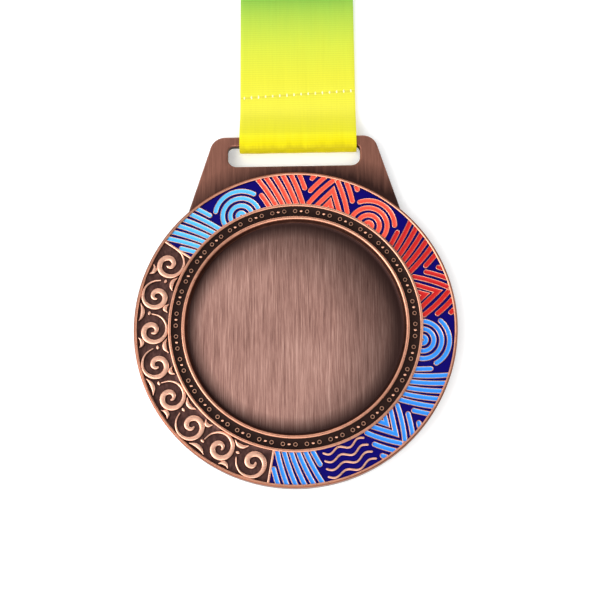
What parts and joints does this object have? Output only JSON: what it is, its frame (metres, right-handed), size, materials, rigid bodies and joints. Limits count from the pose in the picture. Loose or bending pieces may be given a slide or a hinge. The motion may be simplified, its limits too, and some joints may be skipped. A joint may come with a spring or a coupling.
{
  "type": "finisher medal with ribbon",
  "caption": "Round die-cast medal in antique copper with an enamelled ring, a plain recessed centre and a slotted lug that carries a woven neck ribbon.",
  "frame": {"origin": "centre of the flat back face of the disc, on the surface it lies on", "axes": "+Z out of the medal's face, +Y from the disc to the ribbon lug, +X to the right seen from the face"},
  "size_m": [0.0665, 0.1857, 0.0058],
  "materials": {
    "antique_copper": "antique copper plating, dark in the low places, polished on the high edges",
    "sky_enamel": "soft enamel, gloss",
    "coral_enamel": "soft enamel, gloss",
    "crimson_enamel": "soft enamel, gloss",
    "azure_enamel": "soft enamel, gloss",
    "navy_enamel": "soft enamel, gloss",
    "ribbon_satin": "woven polyester, satin, dyed in a gradient",
    "tie_band": "clear-white plastic wrap band",
    "thread": "polyester sewing thread"
  },
  "bodies": {
    "medal": {"medal_body": "antique_copper", "sky_bar_enamel": "sky_enamel", "sky_arch_enamel": "sky_enamel", "coral_bar_enamel": "coral_enamel", "coral_chevron_enamel": "coral_enamel", "coral_arch_enamel": "coral_enamel", "crimson_bar_enamel": "crimson_enamel", "crimson_chevron_enamel": "crimson_enamel", "azure_arch_enamel": "azure_enamel", "azure_bar_enamel": "azure_enamel", "azure_chevron_enamel": "azure_enamel", "navy_enamel": "navy_enamel"},
    "ribbon": {"ribbon_loop": "ribbon_satin", "ribbon_hank": "ribbon_satin", "hank_tie": "tie_band", "seam_stitches": "thread"}
  },
  "joints": [
    {"name": "ribbon_swing", "type": "hinge", "parent": "medal", "child": "ribbon", "pos_m": [0, 0.0405, 0.0017], "axis": [1, 0, 0], "range_deg": [-150, 150]}
  ]
}
